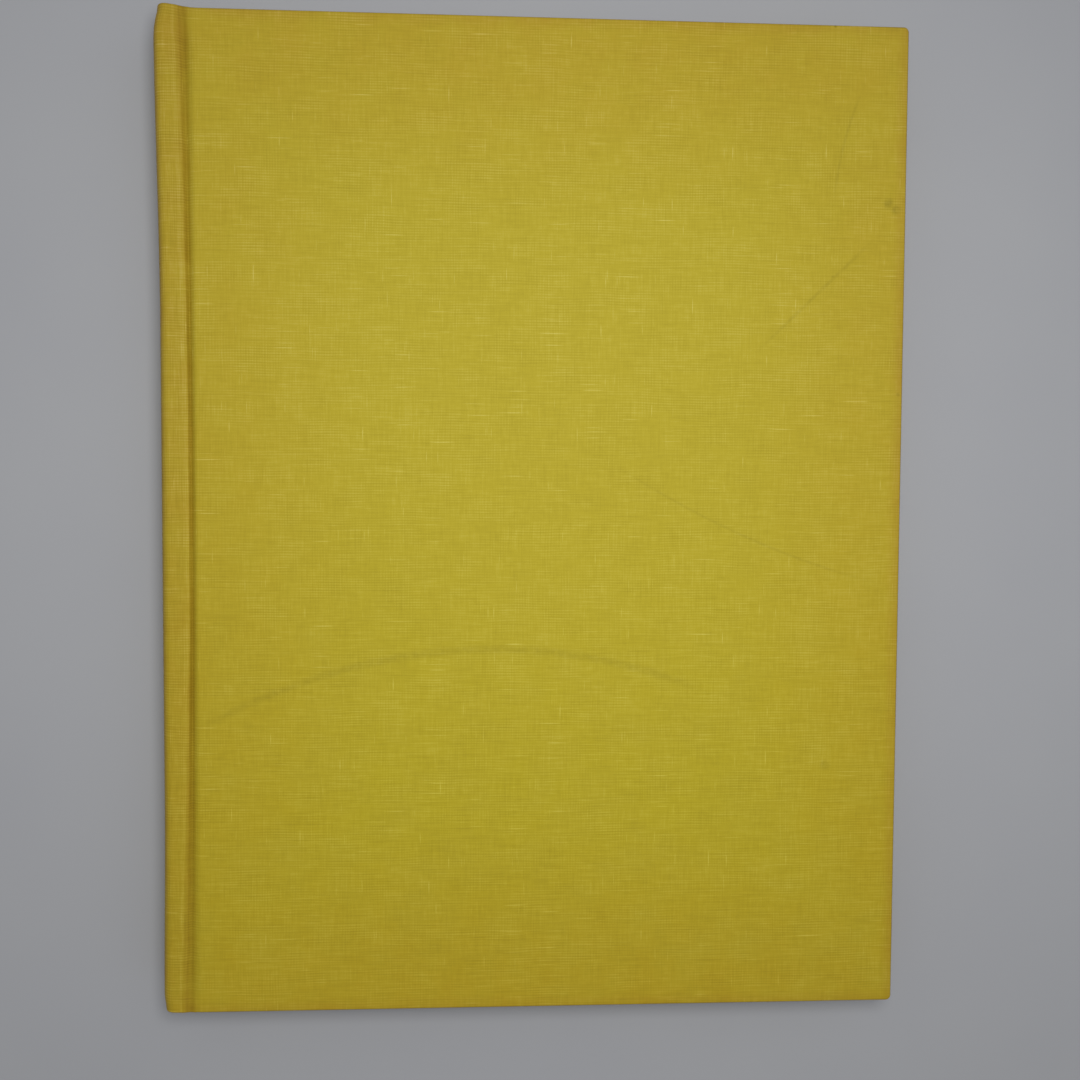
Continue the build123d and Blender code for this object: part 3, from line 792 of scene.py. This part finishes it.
greyboard = makeFibreMaterial("pulpGreyboard", "#8b857a", "#6f695f", size=1.2, stretch=(1, 1, 0.3), roughness=0.95)
kraftCard = makeFibreMaterial("kraftCard", "#ab9878", "#8f7b5b", size=0.9, stretch=(1, 4, 1), roughness=0.9)
gauze = makeFibreMaterial("starchedGauze", "#d2c8ad", "#b3a684", size=0.8, stretch=(1, 1, 1), roughness=0.9)
for name, material, slot in (("front_board", greyboard, "greyboard"), ("back_board", greyboard, "greyboard"),
                             ("spine_inlay", kraftCard, "inlay_card"), ("spine_lining", gauze, "lining_gauze")):
    dress(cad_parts[name], material)
print("inner materials set")

# stage: a pale table that runs into a pale surround, and one soft lamp above
stageLook = {
    "lampAt": (0.02, 0.052, 0.385), "lampAim": (0.0, 0.02, 0.0), "lampSize": 0.13, "lampPower": 0.82,
    "surround": 0.45, "surroundColour": "#f4f5f8", "brightSide": (0.75, 0.66, 0.0), "brightShare": (0.75, 1.25),
    "tableColours": ("#a9aaae", "#afb0b2"), "tableReach": 30.0, "tableFrom": 0.24, "tableTo": 0.52,
    "tableDrop": 0.2, "grainPerMetre": 14.0,
}
table = bpy.data.objects.new("table", bpy.data.meshes.new("table"))
far = stageLook["tableReach"]
table.data.from_pydata([(-far, -far, 0), (far, -far, 0), (far, far, 0), (-far, far, 0)], [], [(0, 1, 2, 3)])
table.location.z = -stageLook["tableDrop"] * mm
scene.collection.objects.link(table)
tableTop, tree, shader = newMaterial("paintedTableTop", roughness=0.7, specular=0.2)
where = addNode(tree, "ShaderNodeTexCoord").outputs["Object"]
grain = addNode(tree, "ShaderNodeTexNoise", {"Vector": where, "Scale": stageLook["grainPerMetre"], "Detail": 3.0})
colour = addNode(tree, "ShaderNodeMix", {0: grain, 6: linear(stageLook["tableColours"][0]),
                                         7: linear(stageLook["tableColours"][1])}, data_type="RGBA").outputs[2]
tree.links.new(colour, shader.inputs["Base Color"])
# far from the book the table is seen as bright as the surround, and lights nothing by it
away = addNode(tree, "ShaderNodeVectorMath", {0: where}, operation="LENGTH").outputs["Value"]
away = addNode(tree, "ShaderNodeMapRange", {0: away, 1: stageLook["tableFrom"], 2: stageLook["tableTo"]}, **smooth)
away = addNode(tree, "ShaderNodeMath", {0: away, 1: seenDirectly(tree)}, operation="MULTIPLY")
pale = addNode(tree, "ShaderNodeEmission", {"Color": linear(stageLook["surroundColour"]),
                                            "Strength": stageLook["surround"]})
faded = addNode(tree, "ShaderNodeMixShader", {0: away, 1: shader, 2: pale})
tree.links.new(faded.outputs[0], tree.nodes["Material Output"].inputs["Surface"])
table.data.materials.append(tableTop)

lamp = bpy.data.objects.new("lamp", bpy.data.lights.new("lamp", "AREA"))
lamp.data.shape = "DISK"
lamp.data.size = stageLook["lampSize"]
lamp.data.energy = stageLook["lampPower"]
lamp.location = stageLook["lampAt"]
lamp.rotation_euler = (Vector(stageLook["lampAim"]) - lamp.location).to_track_quat("-Z", "Y").to_euler()
lamp.visible_camera = False
scene.collection.objects.link(lamp)

world = bpy.data.worlds.new("surround")
world.use_nodes = True
# the surround is a little brighter towards the head and fore-edge, and is seen as one even tone
tree = world.node_tree
tree.nodes["Background"].inputs["Color"].default_value = linear(stageLook["surroundColour"])
where = addNode(tree, "ShaderNodeTexCoord").outputs["Object"]
towards = addNode(tree, "ShaderNodeVectorMath", {0: where, 1: stageLook["brightSide"]},
                  operation="DOT_PRODUCT").outputs["Value"]
low, high = [stageLook["surround"] * share for share in stageLook["brightShare"]]
level = addNode(tree, "ShaderNodeMapRange", {0: towards, 1: -1.0, 2: 1.0, 3: low, 4: high})
level = addNode(tree, "ShaderNodeMix", {0: seenDirectly(tree), 2: level, 3: stageLook["surround"]},
                data_type="FLOAT")
tree.links.new(level.outputs[0], tree.nodes["Background"].inputs["Strength"])
scene.world = world

# camera, fitted to the four edges and the groove of the cover in the photograph
cameraPlace = {"at": (-0.01423, 0.00756, 0.35186), "turn": (-2.3507, -2.8244, 0.3039), "lens": 35.0, "sensor": 36.0}
camera = bpy.data.objects.new("camera", bpy.data.cameras.new("camera"))
camera.data.lens = cameraPlace["lens"]
camera.data.sensor_width = cameraPlace["sensor"]
camera.data.clip_start = 10 * mm
camera.location = cameraPlace["at"]
camera.rotation_euler = [math.radians(a) for a in cameraPlace["turn"]]
scene.collection.objects.link(camera)
scene.camera = camera
scene.view_settings.view_transform = "Standard"
